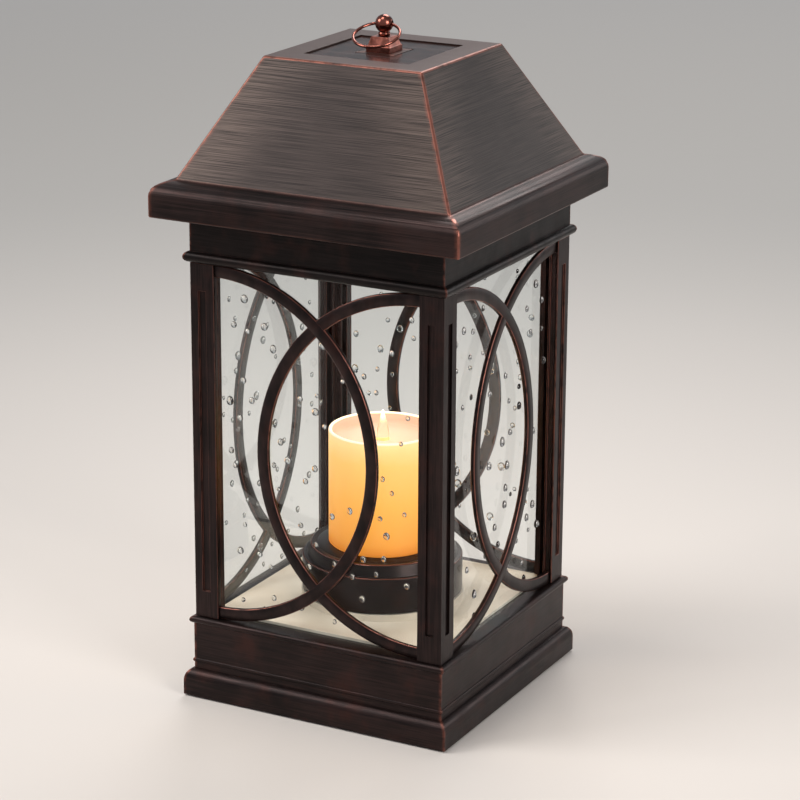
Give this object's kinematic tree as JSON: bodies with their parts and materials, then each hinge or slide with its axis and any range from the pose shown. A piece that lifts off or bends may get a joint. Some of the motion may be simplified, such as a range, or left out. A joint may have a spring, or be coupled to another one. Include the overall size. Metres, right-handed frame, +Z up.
{
  "type": "solar garden lantern",
  "caption": "Square roofed garden lantern with a solar cell on the roof, a hanging ring, crossed-arc tracery over glass panes and an LED candle inside.",
  "frame": {"origin": "middle of the base, on the surface the feet stand on", "axes": "+Z up along the lantern; -Y is the front side, which is also the side the ring leans to"},
  "size_m": [0.186, 0.186, 0.381],
  "materials": {
    "base_shell": "cast, painted oil-rubbed bronze, satin",
    "battery_bay": "moulded, matt",
    "battery_cell": "printed sleeve, left plain",
    "battery_contact": "zinc plated",
    "battery_door": "moulded, matt",
    "battery_spring": "zinc plated",
    "bottom_cover": "moulded, matt",
    "candle_holder": "cast, painted oil-rubbed bronze, satin",
    "candle_sleeve": "wax-like, lit from inside",
    "circuit_board": "lacquered board",
    "corner_post_1": "cast, painted oil-rubbed bronze, satin",
    "corner_post_2": "cast, painted oil-rubbed bronze, satin",
    "corner_post_3": "cast, painted oil-rubbed bronze, satin",
    "corner_post_4": "cast, painted oil-rubbed bronze, satin",
    "cover_screw_1": "zinc plated",
    "cover_screw_2": "zinc plated",
    "cover_screw_3": "zinc plated",
    "cover_screw_4": "zinc plated",
    "door_screw": "zinc plated",
    "finial_block": "polished copper plating",
    "finial_nut": "zinc plated",
    "finial_stud": "polished copper plating",
    "finial_washer": "zinc plated",
    "flame_lens": "clear lens",
    "floor_plate": "cream, satin",
    "foot_1": "matt",
    "foot_2": "matt",
    "foot_3": "matt",
    "foot_4": "matt",
    "glass_back": "clear, with dew drops",
    "glass_front": "clear, with dew drops",
    "glass_left": "clear, with dew drops",
    "glass_right": "clear, with dew drops",
    "glass_strip_1": "cast, painted oil-rubbed bronze, satin",
    "glass_strip_2": "cast, painted oil-rubbed bronze, satin",
    "glass_strip_3": "cast, painted oil-rubbed bronze, satin",
    "glass_strip_4": "cast, painted oil-rubbed bronze, satin",
    "hanging_ring": "polished copper plating",
    "holder_screw_1": "zinc plated",
    "holder_screw_2": "zinc plated",
    "lamp_board": "lacquered board",
    "lamp_lead": "sleeved wire",
    "lamp_led": "clear epoxy, lit",
    "lamp_stem": "moulded, matt",
    "panel_lead": "sleeved wire",
    "roof_shell": "brushed bronze with rubbed copper edges",
    "solar_panel": "cell under clear resin, gloss",
    "switch_body": "zinc plated",
    "switch_slider": "moulded, matt",
    "tie_rod_1": "zinc plated",
    "tie_rod_2": "zinc plated",
    "tie_rod_3": "zinc plated",
    "tie_rod_4": "zinc plated",
    "tracery_back": "oil-rubbed bronze with rubbed copper edges",
    "tracery_front": "oil-rubbed bronze with rubbed copper edges",
    "tracery_left": "oil-rubbed bronze with rubbed copper edges",
    "tracery_right": "oil-rubbed bronze with rubbed copper edges",
    "upper_frame": "cast, painted oil-rubbed bronze, satin"
  },
  "bodies": {
    "lantern": {"base_shell": "base_shell", "battery_bay": "battery_bay", "battery_cell": "battery_cell", "battery_contact": "battery_contact", "battery_door": "battery_door", "battery_spring": "battery_spring", "bottom_cover": "bottom_cover", "candle_holder": "candle_holder", "candle_sleeve": "candle_sleeve", "circuit_board": "circuit_board", "corner_post_1": "corner_post_1", "corner_post_2": "corner_post_2", "corner_post_3": "corner_post_3", "corner_post_4": "corner_post_4", "cover_screw_1": "cover_screw_1", "cover_screw_2": "cover_screw_2", "cover_screw_3": "cover_screw_3", "cover_screw_4": "cover_screw_4", "door_screw": "door_screw", "finial_block": "finial_block", "finial_nut": "finial_nut", "finial_stud": "finial_stud", "finial_washer": "finial_washer", "flame_lens": "flame_lens", "floor_plate": "floor_plate", "foot_1": "foot_1", "foot_2": "foot_2", "foot_3": "foot_3", "foot_4": "foot_4", "glass_back": "glass_back", "glass_front": "glass_front", "glass_left": "glass_left", "glass_right": "glass_right", "glass_strip_1": "glass_strip_1", "glass_strip_2": "glass_strip_2", "glass_strip_3": "glass_strip_3", "glass_strip_4": "glass_strip_4", "holder_screw_1": "holder_screw_1", "holder_screw_2": "holder_screw_2", "lamp_board": "lamp_board", "lamp_lead": "lamp_lead", "lamp_led": "lamp_led", "lamp_stem": "lamp_stem", "panel_lead": "panel_lead", "roof_shell": "roof_shell", "solar_panel": "solar_panel", "switch_body": "switch_body", "tie_rod_1": "tie_rod_1", "tie_rod_2": "tie_rod_2", "tie_rod_3": "tie_rod_3", "tie_rod_4": "tie_rod_4", "tracery_back": "tracery_back", "tracery_front": "tracery_front", "tracery_left": "tracery_left", "tracery_right": "tracery_right", "upper_frame": "upper_frame"},
    "ring": {"hanging_ring": "hanging_ring"},
    "slider": {"switch_slider": "switch_slider"}
  },
  "joints": [
    {"name": "ring_hinge", "type": "hinge", "parent": "lantern", "child": "ring", "pos_m": [0, 0, 0.376], "axis": [0.9925, 0.1219, 0], "range_deg": [-235, 13]},
    {"name": "switch_slide", "type": "slide", "parent": "lantern", "child": "slider", "axis": [1, 0, 0], "range_m": [0, 0.003]}
  ]
}
